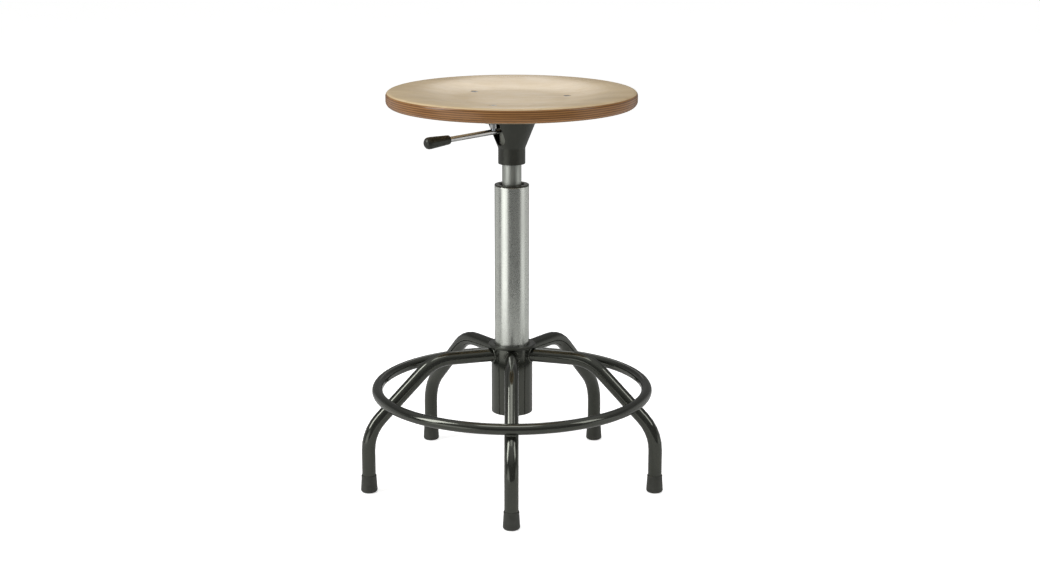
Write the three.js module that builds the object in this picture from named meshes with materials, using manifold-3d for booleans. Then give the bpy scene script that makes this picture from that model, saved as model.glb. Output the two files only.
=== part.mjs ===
// Height-adjustable swivel stool: a round moulded-plywood seat on a gas spring, over a welded five-foot base
// of round tube with a foot ring. Millimetres, +Z up, the floor at Z = 0.
// Everything is designed about the column's axis. The part's origin is the middle of the footprint's box on
// the floor, and the column stands COLUMN_AXIS_Y behind it, because five feet aren't even front to back.
import * as THREE from 'three';
import { mergeVertices } from 'three/addons/utils/BufferGeometryUtils.js';
import Module from 'manifold-3d';

const wasm = await Module();
wasm.setup();

// ---------------------------------------------------------------- driving dimensions

const CLEARANCE = 0.3; // between faces that touch on the real stool
const COLUMN_AXIS_Y = 12;
const CUT_MARGIN = 5; // how far a cutter runs past the faces that it opens

// Flat sides that stand for a full turn.
const SEAT_SIDES = 44;
const RING_SIDES = 40;
const LARGE_SIDES = 28;
const MEDIUM_SIDES = 24;
const SMALL_SIDES = 16;
const FASTENER_SIDES = 12;

// Seat board: plywood of even thickness with a pressed dish and three bolts.
const SEAT_RADIUS = 180;
const SEAT_RIM_HEIGHT = 580;
const SEAT_THICKNESS = 21;
const DISH_DEPTH = 10;
const DISH_FLAT_RADIUS = 70;
const DISH_RIM_RADIUS = 165;
const SEAT_TOP_EDGE_RADIUS = 6;
const SEAT_BOTTOM_EDGE_RADIUS = 8;
const BOLT_CIRCLE_RADIUS = 81.5;
const BOLT_AZIMUTHS = [12, 132, 252];

// Fasteners, M5.
const BOLT_RADIUS = 2.5;
const BOLT_HEAD_RADIUS = 5.3;
const BOLT_HEAD_DEPTH = 3.4;
const BOLT_END_BELOW_NUT = 3;
const BOLT_CHAMFER = 0.6;
const NUT_ACROSS_FLATS = 8;
const NUT_THICKNESS = 6.3;
const WASHER_RADIUS = 5;
const WASHER_THICKNESS = 1;

// Seat bracket and its taper socket.
const BRACKET_THICKNESS = 3;
const BRACKET_HUB_RADIUS = 34;
const BRACKET_ARM_WIDTH = 28;
const SOCKET_RADIUS = 17.3;
const SOCKET_BOTTOM = 480;
const LEVER_WINDOW_PLAY = 1.6; // over the lever's diameter, both ways
const TAPER_PER_MM = Math.tan(THREE.MathUtils.degToRad(1.43));

// Cone cover over the socket.
const COVER_BOTTOM = 474.8;
const COVER_NECK_RADIUS = 19.6;
const COVER_NECK_TOP = 497.9;
const COVER_SLOPE = 0.4;
const COVER_WALL = 2;
const COVER_TUBE_GAP = 0.5;
const COVER_LIP_CHAMFER = 1;
const COVER_SLOT_WIDTH = 26;
const COVER_SLOT_BOTTOM = 502.5;
const COVER_SLOT_REACH = 60;

// Release lever: a straight rod, pivoted in the socket's wall and pressing the valve pin on the axis.
const LEVER_AZIMUTH = 218;
const LEVER_AXIS_HEIGHT = 525.3;
const LEVER_DROOP = THREE.MathUtils.degToRad(2.5);
const LEVER_RADIUS = 4;
const LEVER_INNER_END = -4;
const LEVER_LENGTH = 151.9;
const LEVER_PIVOT_REACH = 15.3;
const PIVOT_PIN_RADIUS = 2;
const PIVOT_PIN_HALF_LENGTH = 8;
const GRIP_LENGTH = 41;
const GRIP_SMALL_RADIUS = 6.5;
const GRIP_LARGE_RADIUS = 8.6;
const GRIP_MOUTH_CHAMFER = 1.5;
const GRIP_BLIND_END = 12;

// Gas spring.
const TUBE_RADIUS = 14;
const TUBE_BORE_RADIUS = 12.4;
const TUBE_BOTTOM = 158;
const TUBE_TOP = 515;
const TUBE_NECK_BORE_RADIUS = 11.4;
const TUBE_NECK_BOTTOM = 485;
const TUBE_NECK_STEP = 2;
const TUBE_CHAMFER = 0.8;
const ROD_RADIUS = 5;
const ROD_BOTTOM = 100;
const ROD_TOP = 441;
const ROD_SPIGOT_RADIUS = 4;
const ROD_COLLAR_RADIUS = 8;
const ROD_COLLAR_THICKNESS = 3;
const ROD_GROOVE_BOTTOM = 101.9;
const ROD_GROOVE_TOP = 104;
const ROD_CLIP_THICKNESS = 1.5;
const ROD_CLIP_RADIUS = 8;
const ROD_WASHER_RADIUS = 11;
const BUMPER_RADIUS = 13;
const BUMPER_HEIGHT = 10;
const PISTON_BOTTOM = 424;
const PISTON_THICKNESS = 12;
const PISTON_PLAY = 0.5;
const PISTON_LAND = 4; // below and above the seal's groove
const PISTON_GROOVE_DEPTH = 2;
const PISTON_NUT_ACROSS_FLATS = 13;
const PISTON_NUT_THICKNESS = 4;
const ROD_GUIDE_HEIGHT = 20;
const ROD_SEAL_HEIGHT = 5.7;
const VALVE_PIN_RADIUS = 3;
const VALVE_BODY_HEIGHT = 19.7;
const VALVE_HEAD_RADIUS = 5;
const VALVE_HEAD_THICKNESS = 3;
const VALVE_TIP_CHAMFER = 1;

// Column, guide bush and thrust bearing.
const COLUMN_RADIUS = 25;
const COLUMN_BORE_RADIUS = 23;
const COLUMN_BOTTOM = 106;
const COLUMN_TOP = 444.8;
const COLUMN_FLOOR = 3;
const COLUMN_FLOOR_HOLE_RADIUS = 5.6;
const COLUMN_CHAMFER = 1;
const BUSH_FLANGE = 1.7;
const BUSH_LENGTH = 70;
const BUSH_FUNNEL = 4;
const BUSH_CHAMFER = 0.5;
const BALL_RADIUS = 2.5;
const BALL_COUNT = 8;
const BALL_CIRCLE_RADIUS = 10.5;
const RACE_THICKNESS = 2;
const RACE_RADIUS = 15.5;
const RACE_BORE_RADIUS = 6;
const CAGE_RADIUS = 14.5;
const CAGE_THICKNESS = 2;

// Base.
const HUB_RADIUS = 30.2;
const HUB_BOTTOM = 103.2;
const HUB_TOP = 203;
const COLLAR_RADIUS = 35;
const COLLAR_THICKNESS = 4;
const COLLAR_CHAMFER = 1.2;
const LEG_AZIMUTHS = [-90, -18, 54, 126, 198];
const LEG_TUBE_RADIUS = 10;
const LEG_WALL = 1.5;
const LEG_HEIGHT = 191.7;
const LEG_KNEE_REACH = 119;
const LEG_FOOT_REACH = 219.5;
const KNEE_BEND_RADIUS = 60;
const ANKLE_BEND_RADIUS = 66;
const BEND_STEPS = 5;
const RING_RADIUS = 198.9;
const RING_TUBE_RADIUS = 8;
const RING_WALL = 1.2;
const RING_HEIGHT = 137.9;
const RING_VENT_RADIUS = 1.5;
const FOOT_HEIGHT = 26;
const FOOT_BASE_RADIUS = 12.5;
const FOOT_TOP_RADIUS = 11.2;
const FOOT_SOLE = 5;
const FOOT_SOLE_RADIUS = 10.9;
const FOOT_CHAMFER = 1.2;
const FOOT_BULGE_HEIGHT = 3.5;
const FOOT_LIP = 0.5;

// Heights that follow from the ones above.
const SEAT_DISH_UNDERSIDE = SEAT_RIM_HEIGHT - DISH_DEPTH - SEAT_THICKNESS;
const BRACKET_TOP = SEAT_DISH_UNDERSIDE - CLEARANCE;
const BRACKET_BOTTOM = BRACKET_TOP - BRACKET_THICKNESS;
const WASHER_TOP = BRACKET_BOTTOM - CLEARANCE;
const NUT_TOP = WASHER_TOP - WASHER_THICKNESS - CLEARANCE;
const BOLT_END = NUT_TOP - NUT_THICKNESS - BOLT_END_BELOW_NUT;
const COLUMN_WALL_TOP = COLUMN_TOP - BUSH_FLANGE - CLEARANCE;
const COLUMN_FLOOR_TOP = COLUMN_BOTTOM + COLUMN_FLOOR;
const LOWER_RACE_BOTTOM = COLUMN_FLOOR_TOP + CLEARANCE;
const BALL_HEIGHT = LOWER_RACE_BOTTOM + RACE_THICKNESS + CLEARANCE + BALL_RADIUS;
const UPPER_RACE_BOTTOM = BALL_HEIGHT + BALL_RADIUS + CLEARANCE;
const ROD_COLLAR_BOTTOM = UPPER_RACE_BOTTOM + RACE_THICKNESS + CLEARANCE;
const ROD_COLLAR_TOP = ROD_COLLAR_BOTTOM + ROD_COLLAR_THICKNESS;

// ---------------------------------------------------------------- materials

const finish = (color, roughness, metalness) => ({ color, roughness, metalness });

const BLACK_PAINT = finish(0x262824, 0.35, 0.2);
const BLACK_PLASTIC = finish(0x2b2d29, 0.45, 0);
const BLACK_RUBBER = finish(0x2e302c, 0.7, 0);
const ZINC = finish(0xb9bab5, 0.3, 1);
const CHROME = finish(0xd5d6d3, 0.12, 1);
const STEEL = finish(0x9a9c9c, 0.3, 1);
const BRASS = finish(0xb08d4a, 0.35, 1);
const WOOD = finish(0xc5b190, 0.4, 0);

// ---------------------------------------------------------------- geometry helpers

const points = (pairs) => pairs.map(([x, y]) => new THREE.Vector2(x, y));

const radians = THREE.MathUtils.degToRad;

// A point on a circle of the given radius, as [x, y].
const polar = (radius, azimuth) => [
  radius * Math.cos(radians(azimuth)),
  radius * Math.sin(radians(azimuth)),
];

// Points along an arc, ends included, as [x, y] pairs; angles in degrees.
function arc(x, y, radius, from, to, steps) {
  return Array.from({ length: steps + 1 }, (_, i) => {
    const [dx, dy] = polar(radius, from + ((to - from) * i) / steps);
    return [x + dx, y + dy];
  });
}

// The corners of a regular polygon, as [x, y] pairs.
const polygon = (x, y, radius, sides) => arc(x, y, radius, 0, 360 - 360 / sides, sides - 1);

// A solid of revolution about Z from an outline of [radius, z] pairs that runs counterclockwise, up the
// outside. The outline starts and ends on the axis, or is closed on itself here.
function turned(outline, sides = SMALL_SIDES) {
  const onAxis = outline[0][0] === 0;
  const ring = onAxis ? outline : [...outline, outline[0]];
  return new THREE.LatheGeometry(points(ring), sides).rotateX(Math.PI / 2);
}

// A plain ring or bush, as a solid of revolution.
const ringOf = (inner, outer, bottom, top, sides) => turned(
  [[inner, bottom], [outer, bottom], [outer, top], [inner, top]],
  sides,
);

// A flat plate from an outline, with its underside at the given height.
function plate(shape, bottom, thickness) {
  const options = { depth: thickness, bevelEnabled: false };
  return new THREE.ExtrudeGeometry(shape, options).translate(0, 0, bottom);
}

// The same closed surface as a solid that can be cut.
function solidOf(geometry) {
  const bare = geometry.clone();
  bare.deleteAttribute('normal');
  bare.deleteAttribute('uv');
  const merged = mergeVertices(bare, 1e-4);
  const corners = merged.index.array;
  const kept = [];
  for (let i = 0; i < corners.length; i += 3) {
    const [a, b, c] = corners.slice(i, i + 3);
    if (a !== b && b !== c && c !== a) kept.push(a, b, c);
  }
  return new wasm.Manifold(new wasm.Mesh({
    numProp: 3,
    vertProperties: new Float32Array(merged.attributes.position.array),
    triVerts: new Uint32Array(kept),
  }));
}

function geometryOf(solid) {
  const mesh = solid.getMesh();
  const geometry = new THREE.BufferGeometry();
  geometry.setAttribute('position', new THREE.BufferAttribute(mesh.vertProperties, 3));
  geometry.setIndex(new THREE.BufferAttribute(mesh.triVerts, 1));
  geometry.computeVertexNormals();
  return geometry;
}

// The first geometry with all the others cut out of it.
function cut(body, ...tools) {
  const left = tools.reduce((solid, tool) => solid.subtract(solidOf(tool)), solidOf(body));
  return geometryOf(left);
}

// A rod of the given radius along X, between two x positions.
function crossRod(radius, from, to, sides = FASTENER_SIDES) {
  const rod = new THREE.CylinderGeometry(radius, radius, to - from, sides);
  return rod.rotateZ(-Math.PI / 2).translate((from + to) / 2, 0, 0);
}

function part(name, geometry, look) {
  const mesh = new THREE.Mesh(geometry, new THREE.MeshStandardMaterial(look));
  mesh.name = name;
  return mesh;
}

function group(...children) {
  const holder = new THREE.Group();
  holder.add(...children);
  return holder;
}

// ---------------------------------------------------------------- seat board and its fasteners

// How far the pressed surface lies below the rim at a radius: flat, then half a cosine wave up to the rim.
function dishDepth(radius) {
  const t = THREE.MathUtils.clamp(
    (radius - DISH_FLAT_RADIUS) / (DISH_RIM_RADIUS - DISH_FLAT_RADIUS), 0, 1);
  return (DISH_DEPTH * (1 + Math.cos(Math.PI * t))) / 2;
}

function dishCurve(height, steps = 6) {
  return Array.from({ length: steps + 1 }, (_, i) => {
    const radius = DISH_FLAT_RADIUS + ((DISH_RIM_RADIUS - DISH_FLAT_RADIUS) * i) / steps;
    return [radius, height - dishDepth(radius)];
  });
}

function seatBoard() {
  const rimUnderside = SEAT_RIM_HEIGHT - SEAT_THICKNESS;
  const lower = SEAT_BOTTOM_EDGE_RADIUS;
  const upper = SEAT_TOP_EDGE_RADIUS;
  const outline = [
    [0, rimUnderside - DISH_DEPTH],
    ...dishCurve(rimUnderside),
    ...arc(SEAT_RADIUS - lower, rimUnderside + lower, lower, -90, 0, 3),
    ...arc(SEAT_RADIUS - upper, SEAT_RIM_HEIGHT - upper, upper, 0, 90, 2),
    ...dishCurve(SEAT_RIM_HEIGHT).reverse(),
    [0, SEAT_RIM_HEIGHT - DISH_DEPTH],
  ];
  return part('seat_board', cut(turned(outline, SEAT_SIDES), ...BOLT_AZIMUTHS.map(boltHole)), WOOD);
}

const boltHeadHeight = SEAT_RIM_HEIGHT - dishDepth(BOLT_CIRCLE_RADIUS) - CLEARANCE;

function boltHole(azimuth) {
  const [x, y] = polar(BOLT_CIRCLE_RADIUS, azimuth);
  const shank = BOLT_RADIUS + CLEARANCE;
  const head = BOLT_HEAD_RADIUS + CLEARANCE;
  const outline = [
    [0, BRACKET_TOP - CUT_MARGIN],
    [shank, BRACKET_TOP - CUT_MARGIN],
    [shank, boltHeadHeight - BOLT_HEAD_DEPTH - CLEARANCE],
    [head, boltHeadHeight - CLEARANCE],
    [head, SEAT_RIM_HEIGHT],
    [0, SEAT_RIM_HEIGHT],
  ];
  return turned(outline, FASTENER_SIDES).translate(x, y, 0);
}

function seatBolt() {
  return turned([
    [0, BOLT_END],
    [BOLT_RADIUS - BOLT_CHAMFER, BOLT_END],
    [BOLT_RADIUS, BOLT_END + BOLT_CHAMFER],
    [BOLT_RADIUS, boltHeadHeight - BOLT_HEAD_DEPTH],
    [BOLT_HEAD_RADIUS, boltHeadHeight - BOLT_CHAMFER],
    [BOLT_HEAD_RADIUS, boltHeadHeight],
    [0, boltHeadHeight],
  ], FASTENER_SIDES);
}

// A hexagon nut with its underside at the given height.
function hexNut(acrossFlats, boltRadius, bottom, thickness) {
  const shape = new THREE.Shape(points(polygon(0, 0, acrossFlats / Math.sqrt(3), 6)));
  const hole = polygon(0, 0, boltRadius + CLEARANCE, FASTENER_SIDES);
  shape.holes.push(new THREE.Path(points(hole)));
  return plate(shape, bottom, thickness);
}

function seatFasteners(azimuth, index) {
  const washer = ringOf(
    BOLT_RADIUS + CLEARANCE, WASHER_RADIUS, WASHER_TOP - WASHER_THICKNESS, WASHER_TOP, FASTENER_SIDES);
  const nut = hexNut(NUT_ACROSS_FLATS, BOLT_RADIUS, NUT_TOP - NUT_THICKNESS, NUT_THICKNESS);
  const set = group(
    part(`seat_bolt_${index + 1}`, seatBolt(), STEEL),
    part(`seat_washer_${index + 1}`, washer, STEEL),
    part(`seat_nut_${index + 1}`, nut, STEEL),
  );
  set.position.set(...polar(BOLT_CIRCLE_RADIUS, azimuth), 0);
  return set;
}

// ---------------------------------------------------------------- seat bracket, socket and cover

// A round plate with three round-ended arms, one to each bolt.
function seatBracket() {
  const half = BRACKET_ARM_WIDTH / 2;
  const spread = THREE.MathUtils.radToDeg(Math.asin(half / BRACKET_HUB_RADIUS));
  const outline = BOLT_AZIMUTHS.flatMap((azimuth) => [
    ...arc(0, 0, BRACKET_HUB_RADIUS, azimuth - 120 + spread, azimuth - spread, 4),
    ...arc(...polar(BOLT_CIRCLE_RADIUS, azimuth), half, azimuth - 90, azimuth + 90, 6),
  ]);
  const shape = new THREE.Shape(points(outline));
  for (const azimuth of BOLT_AZIMUTHS) {
    const hole = polygon(...polar(BOLT_CIRCLE_RADIUS, azimuth), BOLT_RADIUS + CLEARANCE, FASTENER_SIDES);
    shape.holes.push(new THREE.Path(points(hole)));
  }
  return part('seat_bracket', plate(shape, BRACKET_BOTTOM, BRACKET_THICKNESS), BLACK_PAINT);
}

const taperRadius = (height) => TUBE_RADIUS - Math.max(0, height - SOCKET_BOTTOM) * TAPER_PER_MM;

const leverHeight = (reach) => LEVER_AXIS_HEIGHT - reach * Math.tan(LEVER_DROOP);

// Puts a geometry that was drawn along +X, about the design axis, at the lever's azimuth.
const atLever = (geometry) => geometry.rotateZ(radians(LEVER_AZIMUTH));

// A rod across the lever at its pivot, level and square to it.
function pivotRod(radius, halfLength) {
  const rod = crossRod(radius, -halfLength, halfLength).rotateZ(Math.PI / 2);
  return atLever(rod.translate(LEVER_PIVOT_REACH, 0, leverHeight(LEVER_PIVOT_REACH)));
}

function taperSocket() {
  const bore = (height) => taperRadius(height) + CLEARANCE;
  const outline = [
    [bore(SOCKET_BOTTOM), SOCKET_BOTTOM],
    [SOCKET_RADIUS, SOCKET_BOTTOM],
    [SOCKET_RADIUS, BRACKET_BOTTOM - CLEARANCE],
    [bore(TUBE_TOP), BRACKET_BOTTOM - CLEARANCE],
    [bore(TUBE_TOP), TUBE_TOP],
  ];
  const width = 2 * LEVER_RADIUS + LEVER_WINDOW_PLAY;
  const leverWindow = atLever(new THREE.BoxGeometry(SOCKET_RADIUS, width, width)
    .translate(SOCKET_RADIUS, 0, leverHeight(SOCKET_RADIUS)));
  const pinHole = pivotRod(PIVOT_PIN_RADIUS + CLEARANCE, SOCKET_RADIUS);
  return part('taper_socket', cut(turned(outline, MEDIUM_SIDES), leverWindow, pinHole), BLACK_PAINT);
}

// A thin cone that hides the socket, with a round-bottomed slot, open at the top, for the lever.
function coneCover() {
  const top = BRACKET_BOTTOM - CLEARANCE;
  const mouth = COVER_NECK_RADIUS + (top - COVER_NECK_TOP) * COVER_SLOPE;
  const lip = TUBE_RADIUS + COVER_TUBE_GAP;
  const outline = [
    [lip, COVER_BOTTOM],
    [COVER_NECK_RADIUS - COVER_LIP_CHAMFER, COVER_BOTTOM],
    [COVER_NECK_RADIUS, COVER_BOTTOM + COVER_LIP_CHAMFER],
    [COVER_NECK_RADIUS, COVER_NECK_TOP],
    [mouth, top],
    [mouth - COVER_WALL, top],
    [COVER_NECK_RADIUS - COVER_WALL, COVER_NECK_TOP],
    [COVER_NECK_RADIUS - COVER_WALL, COVER_BOTTOM + COVER_WALL],
    [lip, COVER_BOTTOM + COVER_WALL],
  ];
  const slot = coverSlot(top + CUT_MARGIN);
  return part('cone_cover', cut(turned(outline, LARGE_SIDES), slot), BLACK_PLASTIC);
}

function coverSlot(top) {
  const half = COVER_SLOT_WIDTH / 2;
  const shape = new THREE.Shape(points([
    [-half, top],
    ...arc(0, COVER_SLOT_BOTTOM + half, half, -180, 0, 8),
    [half, top],
  ]));
  const slot = plate(shape, 0, COVER_SLOT_REACH);
  return atLever(slot.rotateX(Math.PI / 2).rotateZ(Math.PI / 2));
}

// ---------------------------------------------------------------- release lever

// Puts a piece that was drawn along +X from the axis on the lever's own line.
function onLeverLine(mesh) {
  mesh.rotation.set(0, LEVER_DROOP, radians(LEVER_AZIMUTH), 'ZYX');
  mesh.position.z = LEVER_AXIS_HEIGHT;
  return mesh;
}

function releaseLever() {
  const gripStart = LEVER_LENGTH - GRIP_LENGTH;
  const boreEnd = LEVER_LENGTH - GRIP_BLIND_END;
  const pivot = LEVER_PIVOT_REACH / Math.cos(LEVER_DROOP);
  const hole = crossRod(PIVOT_PIN_RADIUS + CLEARANCE, -PIVOT_PIN_HALF_LENGTH, PIVOT_PIN_HALF_LENGTH)
    .rotateZ(Math.PI / 2)
    .translate(pivot, 0, 0);
  const rod = cut(crossRod(LEVER_RADIUS, LEVER_INNER_END, boreEnd - CLEARANCE, SMALL_SIDES), hole);
  const tip = GRIP_LARGE_RADIUS;
  const grip = turned([
    [0, boreEnd],
    [LEVER_RADIUS + CLEARANCE, boreEnd],
    [LEVER_RADIUS + CLEARANCE, gripStart],
    [GRIP_SMALL_RADIUS - GRIP_MOUTH_CHAMFER, gripStart],
    [GRIP_SMALL_RADIUS, gripStart + GRIP_MOUTH_CHAMFER],
    ...arc(0, LEVER_LENGTH - tip, tip, 0, 67.5, 3),
    [0, LEVER_LENGTH],
  ]).rotateY(Math.PI / 2);
  return group(
    onLeverLine(part('lever_rod', rod, CHROME)),
    onLeverLine(part('lever_grip', grip, BLACK_PLASTIC)),
  );
}

function pivotPin() {
  return part('lever_pivot_pin', pivotRod(PIVOT_PIN_RADIUS, PIVOT_PIN_HALF_LENGTH), STEEL);
}

// ---------------------------------------------------------------- gas spring

function pressureTube() {
  return part('pressure_tube', turned([
    [TUBE_BORE_RADIUS, TUBE_BOTTOM],
    [TUBE_RADIUS - TUBE_CHAMFER, TUBE_BOTTOM],
    [TUBE_RADIUS, TUBE_BOTTOM + TUBE_CHAMFER],
    [TUBE_RADIUS, SOCKET_BOTTOM],
    [taperRadius(TUBE_TOP), TUBE_TOP],
    [TUBE_NECK_BORE_RADIUS, TUBE_TOP],
    [TUBE_NECK_BORE_RADIUS, TUBE_NECK_BOTTOM],
    [TUBE_BORE_RADIUS, TUBE_NECK_BOTTOM - TUBE_NECK_STEP],
  ], MEDIUM_SIDES), CHROME);
}

function valve() {
  const bodyTop = TUBE_TOP - CLEARANCE;
  const bodyBottom = bodyTop - VALVE_BODY_HEIGHT;
  const pinTop = leverHeight(VALVE_PIN_RADIUS) - LEVER_RADIUS - CLEARANCE;
  const headTop = bodyBottom - CLEARANCE;
  const body = ringOf(
    VALVE_PIN_RADIUS + CLEARANCE, TUBE_NECK_BORE_RADIUS - CLEARANCE, bodyBottom, bodyTop, SMALL_SIDES);
  const pin = turned([
    [0, headTop - VALVE_HEAD_THICKNESS],
    [VALVE_HEAD_RADIUS, headTop - VALVE_HEAD_THICKNESS],
    [VALVE_HEAD_RADIUS, headTop],
    [VALVE_PIN_RADIUS, headTop],
    [VALVE_PIN_RADIUS, pinTop - VALVE_TIP_CHAMFER],
    [VALVE_PIN_RADIUS - VALVE_TIP_CHAMFER, pinTop],
    [0, pinTop],
  ], FASTENER_SIDES);
  return group(part('valve_body', body, BRASS), part('valve_pin', pin, STEEL));
}

// The rod stands on the bearing with its collar, and a clip under the column's floor holds it down.
function pistonRod() {
  return part('piston_rod', turned([
    [0, ROD_BOTTOM],
    [ROD_RADIUS, ROD_BOTTOM],
    [ROD_RADIUS, ROD_GROOVE_BOTTOM],
    [ROD_SPIGOT_RADIUS, ROD_GROOVE_BOTTOM],
    [ROD_SPIGOT_RADIUS, ROD_GROOVE_TOP],
    [ROD_RADIUS, ROD_GROOVE_TOP],
    [ROD_RADIUS, ROD_COLLAR_BOTTOM],
    [ROD_COLLAR_RADIUS, ROD_COLLAR_BOTTOM],
    [ROD_COLLAR_RADIUS, ROD_COLLAR_TOP],
    [ROD_RADIUS, ROD_COLLAR_TOP],
    [ROD_RADIUS, PISTON_BOTTOM - CLEARANCE],
    [ROD_SPIGOT_RADIUS, PISTON_BOTTOM - CLEARANCE],
    [ROD_SPIGOT_RADIUS, ROD_TOP],
    [0, ROD_TOP],
  ], FASTENER_SIDES), CHROME);
}

function rodEndPieces() {
  const bore = ROD_RADIUS + CLEARANCE;
  const washerTop = COLUMN_BOTTOM - CLEARANCE;
  const bumperBottom = ROD_COLLAR_TOP + CLEARANCE;
  const clip = new THREE.Shape(points([
    ...arc(0, 0, ROD_CLIP_RADIUS, 30, 330, 10),
    ...arc(0, 0, ROD_SPIGOT_RADIUS + CLEARANCE, 330, 30, 10),
  ]));
  const washer = ringOf(bore, ROD_WASHER_RADIUS, ROD_GROOVE_TOP, washerTop, SMALL_SIDES);
  const bumper = ringOf(bore, BUMPER_RADIUS, bumperBottom, bumperBottom + BUMPER_HEIGHT, SMALL_SIDES);
  return group(
    part('rod_clip', plate(clip, ROD_GROOVE_BOTTOM + CLEARANCE, ROD_CLIP_THICKNESS), STEEL),
    part('rod_clip_washer', washer, STEEL),
    part('rubber_bumper', bumper, BLACK_RUBBER),
  );
}

// A piston with a seal in its groove, clamped by a nut on the rod's spigot.
function pistonPieces() {
  const top = PISTON_BOTTOM + PISTON_THICKNESS;
  const rim = TUBE_BORE_RADIUS - PISTON_PLAY;
  const grooveRadius = rim - PISTON_GROOVE_DEPTH;
  const grooveBottom = PISTON_BOTTOM + PISTON_LAND;
  const grooveTop = top - PISTON_LAND;
  const bore = ROD_SPIGOT_RADIUS + CLEARANCE;
  const piston = turned([
    [bore, PISTON_BOTTOM],
    [rim, PISTON_BOTTOM],
    [rim, grooveBottom],
    [grooveRadius, grooveBottom],
    [grooveRadius, grooveTop],
    [rim, grooveTop],
    [rim, top],
    [bore, top],
  ]);
  const sealRim = TUBE_BORE_RADIUS - CLEARANCE;
  const seal = ringOf(
    grooveRadius + CLEARANCE, sealRim, grooveBottom + CLEARANCE, grooveTop - CLEARANCE, SMALL_SIDES);
  const nut = hexNut(
    PISTON_NUT_ACROSS_FLATS, ROD_SPIGOT_RADIUS, top + CLEARANCE, PISTON_NUT_THICKNESS);
  return group(
    part('piston', piston, BRASS),
    part('piston_seal', seal, BLACK_RUBBER),
    part('piston_nut', nut, STEEL),
  );
}

// The guide and lip seal that close the tube's lower end around the rod.
function rodGuide() {
  const outer = TUBE_BORE_RADIUS - CLEARANCE;
  const bore = ROD_RADIUS + CLEARANCE;
  const guideTop = TUBE_BOTTOM + ROD_GUIDE_HEIGHT;
  const sealBottom = guideTop + CLEARANCE;
  const guide = ringOf(bore, outer, TUBE_BOTTOM, guideTop, SMALL_SIDES);
  const seal = ringOf(bore, outer, sealBottom, sealBottom + ROD_SEAL_HEIGHT, SMALL_SIDES);
  return group(part('rod_guide', guide, BLACK_PLASTIC), part('rod_seal', seal, BLACK_RUBBER));
}

// ---------------------------------------------------------------- column and thrust bearing

function column() {
  const bushOuter = COLUMN_BORE_RADIUS - CLEARANCE;
  const bushBore = TUBE_RADIUS + CLEARANCE;
  const tube = turned([
    [COLUMN_FLOOR_HOLE_RADIUS, COLUMN_BOTTOM],
    [COLUMN_RADIUS - COLUMN_CHAMFER, COLUMN_BOTTOM],
    [COLUMN_RADIUS, COLUMN_BOTTOM + COLUMN_CHAMFER],
    [COLUMN_RADIUS, COLUMN_WALL_TOP],
    [COLUMN_BORE_RADIUS, COLUMN_WALL_TOP],
    [COLUMN_BORE_RADIUS, COLUMN_FLOOR_TOP],
    [COLUMN_FLOOR_HOLE_RADIUS, COLUMN_FLOOR_TOP],
  ], LARGE_SIDES);
  const bush = turned([
    [bushBore, COLUMN_WALL_TOP - BUSH_LENGTH],
    [bushOuter, COLUMN_WALL_TOP - BUSH_LENGTH],
    [bushOuter, COLUMN_WALL_TOP + CLEARANCE],
    [COLUMN_RADIUS, COLUMN_WALL_TOP + CLEARANCE],
    [COLUMN_RADIUS, COLUMN_TOP - BUSH_CHAMFER],
    [COLUMN_RADIUS - BUSH_CHAMFER, COLUMN_TOP],
    [bushBore + BUSH_FUNNEL, COLUMN_TOP],
    [bushBore, COLUMN_TOP - BUSH_FUNNEL],
  ], LARGE_SIDES);
  return group(part('column_tube', tube, ZINC), part('guide_bush', bush, BLACK_PLASTIC));
}

const race = (bottom) => ringOf(
  RACE_BORE_RADIUS, RACE_RADIUS, bottom, bottom + RACE_THICKNESS, SMALL_SIDES);

function ballCage() {
  const shape = new THREE.Shape(points(polygon(0, 0, CAGE_RADIUS, SMALL_SIDES)));
  shape.holes.push(new THREE.Path(points(polygon(0, 0, RACE_BORE_RADIUS, FASTENER_SIDES))));
  for (let i = 0; i < BALL_COUNT; i += 1) {
    const place = polar(BALL_CIRCLE_RADIUS, (360 * i) / BALL_COUNT);
    const pocket = polygon(...place, BALL_RADIUS + CLEARANCE, FASTENER_SIDES);
    shape.holes.push(new THREE.Path(points(pocket)));
  }
  return part('ball_cage', plate(shape, BALL_HEIGHT - CAGE_THICKNESS / 2, CAGE_THICKNESS), BRASS);
}

function bearingBall(index) {
  const sphere = new THREE.SphereGeometry(BALL_RADIUS, FASTENER_SIDES, FASTENER_SIDES / 2);
  const ball = part(`bearing_ball_${index + 1}`, sphere, STEEL);
  ball.position.set(...polar(BALL_CIRCLE_RADIUS, (360 * index) / BALL_COUNT), BALL_HEIGHT);
  return ball;
}

function thrustBearing() {
  const balls = Array.from({ length: BALL_COUNT }, (_, index) => bearingBall(index));
  return group(
    part('bearing_lower_race', race(LOWER_RACE_BOTTOM), STEEL),
    part('bearing_upper_race', race(UPPER_RACE_BOTTOM), STEEL),
    ballCage(),
    ...balls,
  );
}

// ---------------------------------------------------------------- base

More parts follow.
